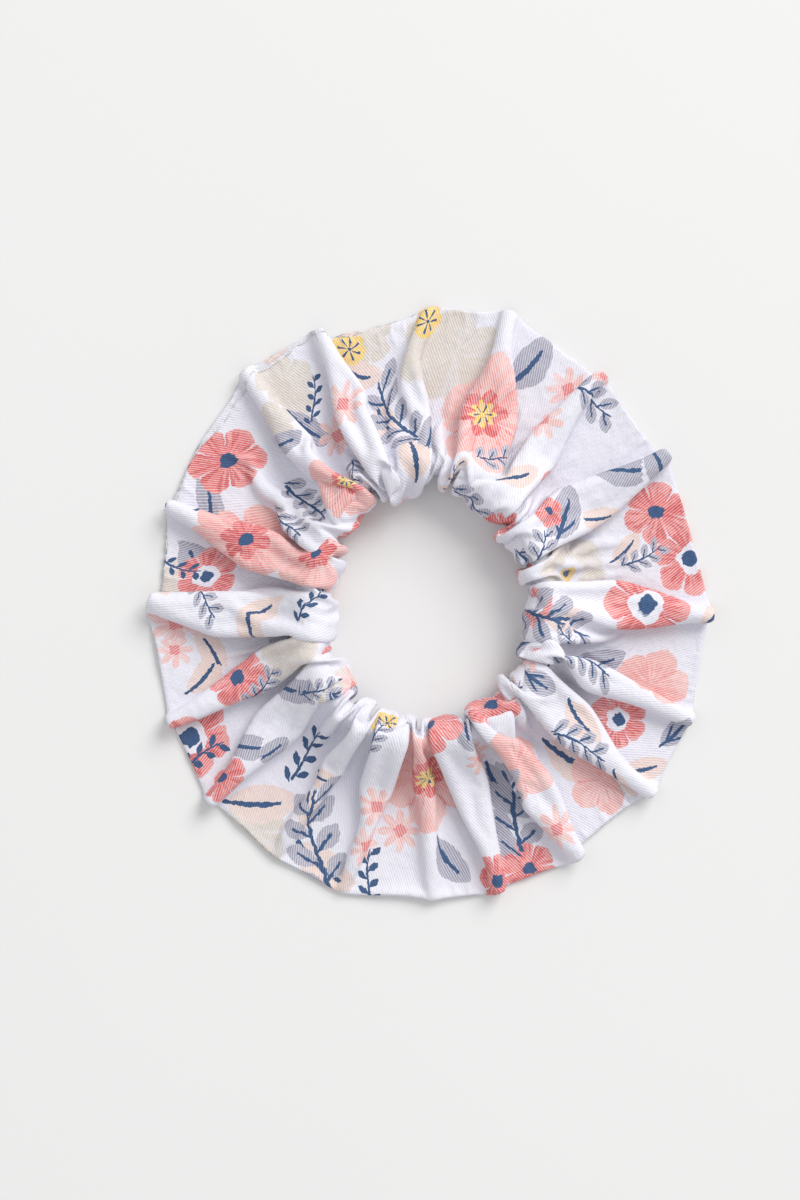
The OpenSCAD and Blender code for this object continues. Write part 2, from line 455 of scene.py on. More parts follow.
SPRIGS = [
    (231, 37, 6, 55, 0), (258, 55, 5.5, 75, 0), (214, 58, 5.5, 35, 0), (244, 50, 10, 100, 1),
    (100, 39, 8, 115, 1), (350, 24, 9, -30, 1), (340, 33, 6, -25, 1), (295, 43, 9, 95, 1),
    (317, 41, 5.5, -20, 1), (177, 22, 4.5, 60, 0), (248, 27, 4, 60, 1), (24, 24, 5, 75, 1),
    (218, 27, 4, 20, 1), (206, 36, 4, 60, 1), (119, 47, 4, 90, 0), (63, 33, 4.5, 10, 1), (13, 44, 4, 30, 1),
    (140, 30, 6, -50, 1), (151, 32, 5, -30, 1), (349, 27, 4, 100, 1),
]
# Each layer is printed over the one before.
LAYERS = {
    "blotch": BLOTCHES, "leaf": LEAVES, "star": STARS, "anemone": ANEMONES, "poppy": POPPIES,
    "sprig": SPRIGS, "yellow_flower": YELLOWS,
}
# How many more motifs each layer may scatter where none is listed, and their least and greatest size.
SCATTERED = {
    "blotch": (12, 6, 8), "leaf": (70, 4, 6), "star": (26, 3.5, 4.5), "anemone": (14, 8, 11),
    "poppy": (26, 5, 7.5), "sprig": (34, 4, 7), "yellow_flower": (8, 2.6, 3.2),
}
TRIES = 14                       # places tried for each scattered motif
PRINT_SCALE = 1.16               # motifs look this much smaller where the cloth lies in folds
FAR = 9.0                        # where a drawing's own coordinates lie outside it


# ---------------------------------------------------------------- sleeve

CROSS_SEAM_AT = 315 / 360        # the strip's two ends meet at this share of the way round
LOWEST = 0.15                    # height of the lowest cloth point over the table
SEAM_UNDER = 2.6                 # how far under the rim the long seam lies away from the upper left
SEAM_DEPTH = 0.35                # how far a seam draws the cloth in
DRIFT_AT, DRIFT_WIDE = 128, 34   # where the long seam rolls on top, and how far round, in degrees
FLAP_HALF = 0.12                 # half the distance between the two allowances
RIM_REACH, RIM_EVEN = 18, 24     # rows searched for the rim, and stations over which it is evened out


class Sleeve:
    """The simulated cloth as a fine grid of points, cut open at its seams as the real strip is."""

    def __init__(self, settings):
        self.settings = settings
        grid = TubeCloth(settings).draw_in()
        grid = refine(np.roll(grid, -round(CROSS_SEAM_AT * grid.shape[0]), axis=0), 0)
        self.around, self.across = grid.shape[:2]
        self.step_u = settings.strip_length / self.around
        self.step_v = settings.tube_round / self.across
        # row 0 of the opened strip is the long seam: it lies under the rim, and over it at the upper left
        angle = np.arctan2(grid[:, 0, 1], grid[:, 0, 0])
        upper_left = np.exp(-((angle - math.radians(DRIFT_AT)) / math.radians(DRIFT_WIDE)) ** 2)
        drift = ((settings.seam_drift + SEAM_UNDER) * upper_left - SEAM_UNDER) / self.step_v
        start = self.rim_row(grid) - drift
        grid = np.stack([row_at(grid, start + row) for row in range(self.across)], axis=1)
        grid[..., 2] -= grid[..., 2].min() - LOWEST
        self.sink_seams(grid, drift)
        self.points = np.concatenate([grid, grid[:1]])
        self.points = np.concatenate([self.points, self.points[:, :1]], axis=1)

    def rim_row(self, grid):
        """Row that lies farthest out at each station, evened out along the ring."""
        middle, reach = self.across // 2, RIM_REACH
        out = np.hypot(grid[..., 0], grid[..., 1])[:, middle - reach:middle + reach + 1]
        row = middle - reach + out.argmax(axis=1).astype(float)
        near = np.arange(-RIM_EVEN, RIM_EVEN + 1)
        weight = np.exp(-(near / (RIM_EVEN / 2)) ** 2)
        return sum(w * np.roll(row, k) for k, w in zip(near, weight)) / weight.sum()

    def sink_seams(self, grid, rim):
        """Draws the cloth in along its two seams, and makes the allowances, midway between the layers.

        rim is the rim's row at each station, counted from the long seam."""
        reach = round(self.settings.allowance / self.step_v)
        between = [(row_at(grid, rim + k) + row_at(grid, rim - k)) / 2
                   for k in np.abs(rim) + np.arange(1, reach + 1)[:, None]]
        between = np.stack(between, axis=1)
        around_seam = np.concatenate([grid[:, -2:], grid[:, :3]], axis=1)
        self.inward = -surface_normals(around_seam)[:, 2]
        grid[:, 0] += self.inward * SEAM_DEPTH
        self.seam = grid[:, 0].copy()
        between[:, 0] = (between[:, 0] + self.seam) / 2
        side = unit(np.cross(np.gradient(between, axis=0), np.gradient(between, axis=1))) * FLAP_HALF
        self.flaps = [np.concatenate([f, f[:1]]) for f in (between - side, between + side)]
        grid[0] -= surface_normals(grid[:3])[1] * SEAM_DEPTH * 0.6

    def strip(self):
        """Points of the whole opened strip, with one allowance at each long edge, and their place in it."""
        left, right = self.flaps
        whole = np.concatenate([left[:, ::-1], self.points, right], axis=1)
        u = np.arange(whole.shape[0]) * self.step_u
        v = (np.arange(whole.shape[1]) - left.shape[1]) * self.step_v
        return whole, u, v

    def top_at(self, tree, angle, radius):
        """Place in the flat strip of the cloth seen from above at a point of the ring, or None."""
        turn = math.radians(angle)
        above = Vector((radius * math.cos(turn), radius * math.sin(turn), 100))
        hit, _, face, _ = tree.ray_cast(above, Vector((0, 0, -1)))
        if face is None:
            return None
        row, column = divmod(face, self.points.shape[1] - 1)
        corner = self.points[row, column]
        along_u = self.points[row + 1, column] - corner
        along_v = self.points[row, column + 1] - corner
        offset = np.array(hit) - corner
        return ((row + offset @ along_u / (along_u @ along_u)) * self.step_u,
                (column + offset @ along_v / (along_v @ along_v)) * self.step_v)

    def tree(self):
        """A search tree of the strip's faces, in rows along the strip."""
        faces = grid_faces(*self.points.shape[:2])
        return BVHTree.FromPolygons(self.points.reshape(-1, 3).tolist(), faces.tolist())


def grid_faces(rows, columns):
    """Four corner numbers for each face of an open grid of points."""
    corner = (np.arange(rows - 1)[:, None] * columns + np.arange(columns - 1)[None, :]).reshape(-1)
    return np.stack([corner, corner + 1, corner + columns + 1, corner + columns], axis=1)


def lay_out(sleeve):
    """Every motif's place in the flat strip, by layer: u, v, size, facing, turn and variant.

    The listed motifs go to the cloth that lies on top at their place, and more are scattered over the
    rest of the cloth."""
    tree = sleeve.tree()
    draw = np.random.default_rng(21)
    layout, seen = {}, []
    for layer, motifs in LAYERS.items():
        rows = layout[layer] = []
        for number, (angle, radius, size, turn, variant) in enumerate(motifs):
            place = sleeve.top_at(tree, angle, radius) or sleeve.top_at(tree, angle, radius - 4)
            if place:
                rows.append((*place, size * PRINT_SCALE, math.radians(angle), math.radians(turn),
                             variant + 0.07 + 0.05 * (number % 17)))
        seen += rows
    for layer, motifs in LAYERS.items():
        rows = layout[layer]
        more, least, most = SCATTERED[layer]
        width = sleeve.settings.tube_round
        for _ in range(more * TRIES):
            size = draw.uniform(least, most)
            u, v = draw.uniform(0, sleeve.settings.strip_length), draw.uniform(0.01, 0.99) * width
            near = [math.hypot(u - r[0], v - r[1]) < 1.05 * (size + r[2]) for r in rows]
            over = [math.hypot(u - r[0], v - r[1]) < 0.95 * (size + r[2]) for r in seen]
            if len(rows) < len(motifs) + more and not any(near + over):
                rows.append((u, v, size, draw.uniform(0, math.tau), draw.uniform(0, math.tau),
                             draw.integers(0, 3) + draw.uniform(0.05, 0.95)))
        layout[layer] = np.array(rows)
    return layout


def motif_coordinates(corner_u, corner_v, rows):
    """Each face corner's coordinates in the drawing of the motif nearest to the face, and its variant."""
    u, v, size, facing, turn, variant = rows.T
    centre_u, centre_v = corner_u.mean(1), corner_v.mean(1)
    far = np.hypot(centre_u[:, None] - u, centre_v[:, None] - v) / size
    pick = far.argmin(1)
    du, dv = corner_u - u[pick][:, None], corner_v - v[pick][:, None]
    c, s = np.cos(facing[pick])[:, None], np.sin(facing[pick])[:, None]
    x, y = -s * du + c * dv, c * du + s * dv
    c, s = np.cos(turn[pick])[:, None], np.sin(turn[pick])[:, None]
    scale = 1 / size[pick][:, None]
    out = np.stack([(c * x + s * y) * scale, (c * y - s * x) * scale,
                    np.broadcast_to(variant[pick][:, None], x.shape)], -1)
    out[far.min(1) > 1.7] = (FAR, FAR, 0)
    return out


# ---------------------------------------------------------------- shader drawings

class Wire:
    """A node socket that can stand in a formula, so that a drawing reads as one."""

    def __init__(self, tree, socket):
        self.tree, self.socket = tree, socket

    def math(self, operation, *others, clamp=False):
        node = self.tree.nodes.new("ShaderNodeMath")
        node.operation, node.use_clamp = operation, clamp
        for slot, value in zip(node.inputs, (self, *others)):
            plug(self.tree, value, slot)
        return Wire(self.tree, node.outputs[0])

    def __add__(self, other):
        return self.math("ADD", other)

    def __sub__(self, other):
        return self.math("SUBTRACT", other)

    def __rsub__(self, other):
        return (self * -1).math("ADD", other)

    def __mul__(self, other):
        return self.math("MULTIPLY", other)

    def __truediv__(self, other):
        return self.math("DIVIDE", other)

    def __pow__(self, other):
        return self.math("POWER", other)

    def __abs__(self):
        return self.math("ABSOLUTE")

    __radd__, __rmul__ = __add__, __mul__

    def least(self, other):
        return self.math("MINIMUM", other)

    def most(self, other):
        return self.math("MAXIMUM", other)

    def over(self, low, high):
        """0 below low and 1 above high, with a smooth step between. It falls where low is above high."""
        if low > high:
            return 1 - self.over(high, low)
        node = self.tree.nodes.new("ShaderNodeMapRange")
        node.interpolation_type = "SMOOTHSTEP"
        plug(self.tree, self, node.inputs["Value"])
        node.inputs["From Min"].default_value, node.inputs["From Max"].default_value = low, high
        return Wire(self.tree, node.outputs["Result"])


def plug(tree, value, slot):
    """Links a wire, or sets a plain number or colour, into a node's input."""
    if isinstance(value, Wire):
        tree.links.new(value.socket, slot)
    else:
        slot.default_value = value


def vector(tree, x, y, z=0.0):
    node = tree.nodes.new("ShaderNodeCombineXYZ")
    for slot, value in zip(node.inputs, (x, y, z)):
        plug(tree, value, slot)
    return Wire(tree, node.outputs[0])


def noise(tree, place, scale, detail=1.0, rough=0.5):
    """Smooth noise from 0 to 1 at a place."""
    node = tree.nodes.new("ShaderNodeTexNoise")
    plug(tree, place, node.inputs["Vector"])
    node.inputs["Scale"].default_value = scale
    node.inputs["Detail"].default_value = detail
    node.inputs["Roughness"].default_value = rough
    return Wire(tree, node.outputs["Fac"])


def blend_colour(tree, share, under, above):
    """The colour above over the colour under, by a share from 0 to 1."""
    node = tree.nodes.new("ShaderNodeMix")
    node.data_type = "RGBA"
    plug(tree, share, node.inputs["Factor"])
    plug(tree, under, node.inputs["A"])
    plug(tree, above, node.inputs["B"])
    return Wire(tree, node.outputs["Result"])


BRUSH = 0.10                     # how ragged the brush strokes' edges are, as a share of a motif's size


class Drawing:
    """One kind of printed motif as a node group. It takes a place and inks, and gives colour and mask."""

    def __init__(self, name, inks):
        self.tree = bpy.data.node_groups.new(name, "ShaderNodeTree")
        sockets = self.tree.interface
        sockets.new_socket("Place", in_out="INPUT", socket_type="NodeSocketVector")
        for colour in inks:
            sockets.new_socket(colour, in_out="INPUT", socket_type="NodeSocketColor")
        sockets.new_socket("Colour", in_out="OUTPUT", socket_type="NodeSocketColor")
        sockets.new_socket("Mask", in_out="OUTPUT", socket_type="NodeSocketFloat")
        self.entry = self.tree.nodes.new("NodeGroupInput")
        self.exit = self.tree.nodes.new("NodeGroupOutput")
        split = self.tree.nodes.new("ShaderNodeSeparateXYZ")
        self.tree.links.new(self.entry.outputs["Place"], split.inputs[0])
        x, y, self.kind = (Wire(self.tree, out) for out in split.outputs)
        self.x = x + (noise(self.tree, vector(self.tree, x, y, self.kind), 9.0, 2.0) - 0.5) * BRUSH
        self.y = y + (noise(self.tree, vector(self.tree, y, x, self.kind), 9.0, 2.0) - 0.5) * BRUSH
        self.variant = self.kind.math("FLOOR")
        self.seed = self.kind - self.variant
        self.r = (self.x * self.x + self.y * self.y) ** 0.5
        self.turn = self.y.math("ARCTAN2", self.x)

    def ink(self, name):
        """One of the inks that the drawing takes."""
        return Wire(self.tree, self.entry.outputs[name])

    def noise(self, scale, detail=1.0, z=0.0):
        """Noise over the drawing, different in each motif."""
        return noise(self.tree, vector(self.tree, self.x, self.y, self.seed * 37 + z), scale, detail)

    def rays(self, fine, stretch=0.6):
        """Noise that runs outwards in fine rays."""
        c, s = self.turn.math("COSINE") * fine, self.turn.math("SINE") * fine
        return noise(self.tree, vector(self.tree, c, s, self.r * stretch + self.seed * 23), 1.0, 1.5)

    def petals(self, count, notch, round_power, wobble=0.05):
        """Distance inside a flower's outline, and how near a place is to a gap between petals."""
        wave = abs((self.turn * (count / 2) + self.seed * 6.28).math("COSINE"))
        outline = wave ** round_power * notch + (1 - notch) * 0.97
        outline = outline + (self.noise(2.3, z=5) - 0.5) * wobble * 3
        return outline - self.r, wave

    def paint(self, colour, share, above):
        return blend_colour(self.tree, share, colour, above)

    def finish(self, colour, mask):
        plug(self.tree, colour, self.exit.inputs["Colour"])
        plug(self.tree, mask, self.exit.inputs["Mask"])
        return self.tree


def draw_poppy():
    """Coral flower with rounded petals, dark strokes and a navy centre, with or without a white ring."""
    d = Drawing("Poppy print", ("Coral", "Coral dark", "Coral pale", "White", "Navy"))
    inside, wave = d.petals(6, 0.26, 0.42, 0.06)
    colour = d.paint(d.ink("Coral"), d.noise(1.6).over(0.42, 0.62) * 0.75, d.ink("Coral pale"))
    colour = d.paint(colour, inside.over(0.16, 0.02) * 0.55, d.ink("Coral pale"))
    streak = d.rays(8.0, 0.9).over(0.50, 0.55) * (d.r + (d.rays(4.0) - 0.5) * 0.8).over(0.90, 0.78)
    colour = d.paint(colour, streak * 0.85, d.ink("Coral dark"))
    gap = (wave - (d.r - 0.42) * 0.22).over(0.06, 0.0) * d.r.over(0.40, 0.48)
    colour = d.paint(colour, gap * 0.8, d.ink("White"))
    blob = d.r + (d.noise(2.6, z=9) - 0.5) * 0.34
    ring = blob.over(0.40, 0.37) * d.variant.over(0.4, 0.6) * d.variant.over(1.6, 1.4)
    colour = d.paint(colour, ring, d.ink("White"))
    core = d.r + (d.noise(3.4, z=14) - 0.5) * 0.30
    colour = d.paint(colour, core.over(0.235, 0.205), d.ink("Navy"))
    return d.finish(colour, inside.over(0.0, 0.03))


def draw_anemone():
    """Large peach flower with streaked petals and a coral star, which holds yellow stamens or a navy dot."""
    d = Drawing("Anemone print", ("Peach", "Coral", "Coral dark", "Pale pink", "Yellow", "Navy"))
    inside, wave = d.petals(5, 0.30, 0.45, 0.08)
    colour = d.paint(d.ink("Peach"), d.noise(1.2).over(0.44, 0.58) * 0.6, d.ink("Pale pink"))
    near = d.r.over(1.05, 0.25)
    streak = (d.rays(9.0, 0.5).over(0.52, 0.57) * near).most(d.rays(5.0, 0.2).over(0.56, 0.66) * near * 0.6)
    colour = d.paint(colour, streak * 0.62, d.ink("Coral"))
    fold = (wave - 0.02).over(0.10, 0.0) * d.r.over(0.30, 0.45) * 0.75
    colour = d.paint(colour, fold, d.ink("Coral"))
    flower = d.variant.over(1.6, 1.4)
    held = d.variant.over(0.4, 0.6) * flower
    star = abs((d.turn * 3 + d.seed * 6).math("COSINE")) ** 0.7 * 0.15 + 0.25
    star = star - d.r + (d.noise(4.0) - 0.5) * 0.16
    heart = d.paint(d.ink("Coral"), d.rays(6.0).over(0.45, 0.58), d.ink("Coral dark"))
    colour = d.paint(colour, star.over(0.0, 0.03) * flower, heart)
    stamens = abs((d.turn * 4 + d.seed * 9).math("COSINE")) * 0.12 + 0.11 - d.r
    colour = d.paint(colour, stamens.over(0.0, 0.02) * held, d.ink("Yellow"))
    tick = abs((d.turn * 3 + d.seed * 5).math("SINE")).over(0.42, 0.26)
    tick = tick * d.r.over(0.03, 0.05) * d.r.over(0.15, 0.13)
    colour = d.paint(colour, tick * held, d.ink("Navy"))
    dot = (d.r + (d.noise(6.0) - 0.5) * 0.08).over(0.115, 0.095) * d.variant.over(0.6, 0.4)
    colour = d.paint(colour, dot, d.ink("Navy"))
    return d.finish(colour, inside.over(0.0, 0.03))


def draw_star():
    """Pale flower with short petals and a small coral centre."""
    d = Drawing("Star print", ("Pale pink", "Peach", "Coral"))
    wave = abs((d.turn * 4 + d.seed * 6.28).math("COSINE"))
    inside = wave ** 1.1 * 0.55 + 0.42 - d.r + (d.noise(2.4) - 0.5) * 0.5
    colour = d.paint(d.ink("Pale pink"), d.rays(4.0).over(0.42, 0.58) * 0.8, d.ink("Peach"))
    square = abs(d.x).most(abs(d.y)) + (d.noise(4.0) - 0.5) * 0.18
    colour = d.paint(colour, square.over(0.25, 0.21), d.ink("Coral"))
    return d.finish(colour, inside.over(0.0, 0.06) * 0.92)


def draw_blotch():
    """Soft beige flower, pale at its edge, with or without a yellow centre in a white halo."""
    d = Drawing("Blotch print", ("Beige", "White", "Yellow", "Navy"))
    inside, wave = d.petals(5, 0.26, 0.55, 0.14)
    colour = d.paint(d.ink("Beige"), d.rays(4.0, 0.3).over(0.46, 0.66) * 0.3, d.ink("White"))
    colour = d.paint(colour, (wave - 0.01).over(0.07, 0.0) * d.r.over(0.35, 0.5) * 0.6, d.ink("White"))
    held = d.variant.over(0.4, 0.6)
    colour = d.paint(colour, (d.r + (d.noise(3.0) - 0.5) * 0.2).over(0.44, 0.32) * held, d.ink("White"))
    colour = d.paint(colour, (d.r + (d.noise(5.0) - 0.5) * 0.1).over(0.21, 0.18) * held, d.ink("Yellow"))
    colour = d.paint(colour, (d.r + (d.noise(6.0) - 0.5) * 0.1).over(0.09, 0.07) * held, d.ink("Navy"))
    return d.finish(colour, inside.over(0.0, 0.10) * 0.94)


def draw_yellow_flower():
    """Small yellow flower with dark strokes from its centre."""
    d = Drawing("Yellow flower print", ("Yellow", "Navy"))
    inside, _ = d.petals(6, 0.22, 0.5)
    arm = abs((d.turn * 3.5 + d.seed * 7).math("SINE")).over(0.50, 0.34)
    stroke = (arm * d.r.over(0.10, 0.14) * d.r.over(0.70, 0.62)).most(d.r.over(0.12, 0.09))
    colour = d.paint(d.ink("Yellow"), stroke, d.ink("Navy"))
    return d.finish(colour, inside.over(0.0, 0.05))


def leaf_shape(x, y, half_width):
    """Distance inside a pointed leaf that lies along x from -1 to 1."""
    return (1 - x * x).most(0.0) ** 0.75 * half_width - abs(y)


def draw_leaf():
    """Grey or tan leaf with a navy midrib, and side veins on some."""
    d = Drawing("Leaf print", ("Grey", "Tan", "Navy"))
    bend = d.y - (d.x * d.x - 0.4) * 0.16
    inside = leaf_shape(d.x, bend, 0.50) + (d.noise(2.2) - 0.5) * 0.16
    is_tan = d.variant.over(0.4, 0.6) * d.variant.over(1.6, 1.4)
    colour = d.paint(d.ink("Grey"), is_tan, d.ink("Tan"))
    thick = 0.088 - abs(d.x + 0.3) * 0.035
    rib = (thick - abs(bend) + (d.noise(5.0) - 0.5) * 0.05).over(0.0, 0.015)
    rib = rib * d.x.over(-1.12, -1.08) * d.x.over(0.55, 0.5)
    slant = abs(abs(bend) - (d.x + 0.75) * 0.5)
    side = slant.over(0.070, 0.05) * abs(bend).over(0.36, 0.32)
    side = side * d.x.over(-0.72, -0.7) * d.variant.over(1.4, 1.6)
    navy = rib.most(side)
    colour = d.paint(colour, navy, d.ink("Navy"))
    return d.finish(colour, inside.over(0.0, 0.04).most(navy))


def draw_sprig():
    """Navy stem with small navy leaves, with large grey or tan leaves and navy veins, or with bare twigs."""
    d = Drawing("Sprig print", ("Grey", "Tan", "Navy"))
    bend = d.y - (d.x * 1.9 + d.seed * 5).math("SINE") * 0.13
    thick = 0.042 - d.x * 0.012
    stem = (thick - abs(bend) + (d.noise(5.0) - 0.5) * 0.035).over(0.0, 0.014)
    stem = stem * d.x.over(-1.0, -0.97) * d.x.over(0.9, 0.8)
    side, up = bend.math("SIGN"), abs(bend)
    filled = d.variant.over(0.6, 0.4)
    leafy = (1 - filled) * d.variant.over(2.6, 2.4)
    small, large, veins = 0.0, 0.0, 0.0
    for behind in (0, 1):
        step = (d.x + side * 0.12) * 2.1 - behind
        root = step.math("FLOOR")
        along = (step - root + behind) / 2.1
        growing = abs(root + 0.3).over(2.2, 2.0)
        a, b = along * 0.66 + up * 0.75, up * 0.66 - along * 0.75 + (d.noise(1.5, z=3) - 0.5) * 0.10
        small = (leaf_shape((a - 0.25) / 0.19, b, 0.105).over(0.0, 0.015) * growing).most(small)
        large = (leaf_shape((a - 0.36) / 0.29, b, 0.17).over(0.0, 0.02) * growing).most(large)
        vein = (0.034 - abs(b)).over(0.0, 0.014) * a.over(0.0, 0.02) * a.over(0.47, 0.42) * growing
        veins = vein.most(veins)
    navy = stem.most(small * filled).most(veins * (1 - filled)).most(veins * filled * up.over(0.10, 0.07))
    colour = d.paint(d.ink("Grey"), d.variant.over(1.4, 1.6), d.ink("Tan"))
    colour = d.paint(colour, navy, d.ink("Navy"))
    return d.finish(colour, navy.most(large * leafy * 0.95))


DRAWINGS = {
    "blotch": draw_blotch, "leaf": draw_leaf, "star": draw_star, "anemone": draw_anemone, "poppy": draw_poppy,
    "sprig": draw_sprig, "yellow_flower": draw_yellow_flower,
}


def yarn_group():
    """Twill or ribbed yarn: it takes a place in millimetres, and gives raised lines and their height."""
    tree = bpy.data.node_groups.new("Yarn lines", "ShaderNodeTree")
    for name, kind, default in (("Place", "NodeSocketVector", None), ("Slant", "NodeSocketFloat", 1.15),
                                ("Pitch", "NodeSocketFloat", 0.47), ("Float", "NodeSocketFloat", 1.3)):
        socket = tree.interface.new_socket(name, in_out="INPUT", socket_type=kind)
        if default is not None:
            socket.default_value = default
    for name in ("Line", "Height"):
        tree.interface.new_socket(name, in_out="OUTPUT", socket_type="NodeSocketFloat")
    entry, way_out = tree.nodes.new("NodeGroupInput"), tree.nodes.new("NodeGroupOutput")
    split = tree.nodes.new("ShaderNodeSeparateXYZ")
    tree.links.new(entry.outputs["Place"], split.inputs[0])
    x, y, _ = (Wire(tree, out) for out in split.outputs)
    slant, pitch, run = (Wire(tree, entry.outputs[name]) for name in ("Slant", "Pitch", "Float"))
    place = Wire(tree, entry.outputs["Place"])
    waver = (noise(tree, place, 0.9, 2.0) - 0.5) * 0.25
    c, s = slant.math("COSINE"), slant.math("SINE")
    across, along = x * s - y * c + waver, x * c + y * s
    line = ((across / pitch * math.tau).math("SINE") + 1) * 0.5
    broken = (((along / run + (across / pitch).math("FLOOR") * 0.37) * math.tau).math("SINE") + 1) * 0.5
    plug(tree, line, way_out.inputs["Line"])
    plug(tree, line * (broken * 0.35 + 0.65), way_out.inputs["Height"])
    return tree


def place_group(material, group, place):
    """Puts a node group in a material and gives it its place, which is a face-corner attribute's name."""
    tree = material.node_tree
    node = tree.nodes.new("ShaderNodeGroup")
    node.node_tree = group
    source = tree.nodes.new("ShaderNodeAttribute")
    source.attribute_name = place
    tree.links.new(source.outputs["Vector"], node.inputs["Place"])
    return node, Wire(tree, source.outputs["Vector"])


def new_material(name, roughness, sheen=0.0):
    """A cloth-like material, its tree and its shader."""
    material = bpy.data.materials.new(name)
    material.use_nodes = True
    shader = material.node_tree.nodes["Principled BSDF"]
    shader.inputs["Roughness"].default_value = roughness
    shader.inputs["Specular IOR Level"].default_value = 0.25
    shader.inputs["Sheen Weight"].default_value = sheen
    shader.inputs["Sheen Roughness"].default_value = 0.5
    return material, material.node_tree, shader


def bump(tree, shader, height, distance):
    node = tree.nodes.new("ShaderNodeBump")
    node.inputs["Strength"].default_value = 1.0
    node.inputs["Distance"].default_value = distance
    plug(tree, height, node.inputs["Height"])
    tree.links.new(node.outputs["Normal"], shader.inputs["Normal"])


def rgba(colour):
    return (*colour, 1.0)


def print_motifs(material, inks):
    """The print's colour and where there is ink. Each layer of motifs is drawn over the one before."""
    named = {
        "White": inks.cloth, "Coral": inks.coral, "Coral dark": inks.coral_dark,
        "Coral pale": inks.coral_pale, "Peach": inks.peach, "Pale pink": inks.pink, "Beige": inks.beige,
        "Yellow": inks.yellow, "Grey": inks.grey, "Tan": inks.tan, "Navy": inks.navy,
    }
    tree = material.node_tree
    colour, printed = rgba(inks.cloth), 0.0
    for layer, draw in DRAWINGS.items():
        node, _ = place_group(material, draw(), layer)
        for name, value in named.items():
            if name in node.inputs:
                node.inputs[name].default_value = rgba(value)
        mask = Wire(tree, node.outputs["Mask"])
        colour = blend_colour(tree, mask, colour, Wire(tree, node.outputs["Colour"]))
        printed = mask.most(printed)
    return colour, printed


def weave_through_ink(tree, colour, printed, line, place, inks):
    """Lets bare yarn show through the lighter inks along the twill, and shades between its lines."""
    mottle = noise(tree, place, 1.6, 3.0, 0.7).over(0.35, 0.75)
    bright = tree.nodes.new("ShaderNodeRGBToBW")
    tree.links.new(colour.socket, bright.inputs["Color"])
    light_ink = Wire(tree, bright.outputs["Val"]).over(0.03, 0.30) * 0.85 + 0.15
    bare = printed * light_ink * (line.over(0.40, 0.80) * 0.50 + mottle * 0.13)
    colour = blend_colour(tree, bare, colour, rgba(inks.cloth))
    shade = (1 - line).over(0.3, 1.0) * 0.13
    return blend_colour(tree, shade, colour, rgba(inks.grey))


def floral_cotton(inks, yarn):
    """White cotton twill with the floral print, raised yarn, slubs and soft crumples."""
    material, tree, shader = new_material("Floral cotton", 0.86, sheen=0.05)
    lines, place = place_group(material, yarn, "cloth")
    line, height = Wire(tree, lines.outputs["Line"]), Wire(tree, lines.outputs["Height"])
    colour, printed = print_motifs(material, inks)
    plug(tree, weave_through_ink(tree, colour, printed, line, place, inks), shader.inputs["Base Color"])
    plug(tree, noise(tree, place, 2.2, 2.0) * 0.12 + 0.78, shader.inputs["Roughness"])
    slubs = noise(tree, place, 0.55, 3.0, 0.6)
    crumple = noise(tree, place, 0.24, 2.5, 0.55)
    bump(tree, shader, height * 0.06 + slubs * 0.14 + crumple * 0.55, MM)
    return material


def thread_material(yarn):
    """White spun thread: fine spiral lines, with painted shade in the grooves between them."""
    material, tree, shader = new_material("Sewing thread", 0.6, sheen=0.2)
    lines, _ = place_group(material, yarn, "along")
    lines.inputs["Slant"].default_value = 0.8
    lines.inputs["Pitch"].default_value = 0.16
    lines.inputs["Float"].default_value = 0.9
    line = Wire(tree, lines.outputs["Line"])
    # painted shade: the white thread is made darker in the grooves between its spiral lines
    painted_groove_shade = blend_colour(tree, line, (0.70, 0.70, 0.68, 1), (0.93, 0.93, 0.91, 1))
    plug(tree, painted_groove_shade, shader.inputs["Base Color"])
    bump(tree, shader, line * 0.05, MM)
    return material


def elastic_material(yarn):
    """Off-white braided elastic: ribs along it, crossed by the braid's yarns."""
    material, tree, shader = new_material("Braided elastic", 0.7, sheen=0.15)
    lines, place = place_group(material, yarn, "along")
    lines.inputs["Slant"].default_value = 0.7
    lines.inputs["Pitch"].default_value = 0.5
    lines.inputs["Float"].default_value = 0.8
    line, height = Wire(tree, lines.outputs["Line"]), Wire(tree, lines.outputs["Height"])
    shade = blend_colour(tree, line, (0.66, 0.63, 0.55, 1), (0.86, 0.84, 0.77, 1))
    dusty = noise(tree, place, 0.8, 3.0).over(0.4, 0.7) * 0.3
    plug(tree, blend_colour(tree, dusty, shade, (0.74, 0.71, 0.63, 1)), shader.inputs["Base Color"])
    bump(tree, shader, height * 0.12, MM)
    return material


# ---------------------------------------------------------------- pieces

SLEEVE_LENGTHS = 3               # the sleeve is shown in this many lengths, so that its print stays fine
GATHERS = 16                     # wedges in the frame that stand for the sleeve
THREAD_R = 0.13
STITCH, CROSS_STITCH = 2.4, 2.2  # length of one stitch of the long seam, and of the cross seam
STITCH_PITCH = 3.2               # distance from one machine stitch to the next
CLOSING_AT = 106                 # where the first hand stitch lies, in degrees
CLOSING_COUNT, CLOSING_PITCH = 6, 1.9
ELASTIC_THICK = 1.1
RIBS = 6                         # raised ribs on each side of the elastic
LAP_AT, LAP = math.radians(270), math.radians(20)   # where the elastic's ends overlap, and how far round
ZIGZAG = 11                      # corners of the zigzag over the lap
TABLE_HALF = 1.5
WINDOW_AT, WINDOW_SIZE = (1.35, 1.75, 1.85), 1.6
made = {}                        # what one operator leaves for the next: yarn, thread and the sleeve


def new_piece(name, points, faces, material):
    """A smooth mesh piece from points in millimetres."""
    mesh = bpy.data.meshes.new(name)
    mesh.from_pydata((np.asarray(points) * MM).tolist(), [], [tuple(int(c) for c in face) for face in faces])
    mesh.shade_smooth()
    mesh.materials.append(material)
    piece = bpy.data.objects.new(name, mesh)
    bpy.context.scene.collection.objects.link(piece)
    return piece


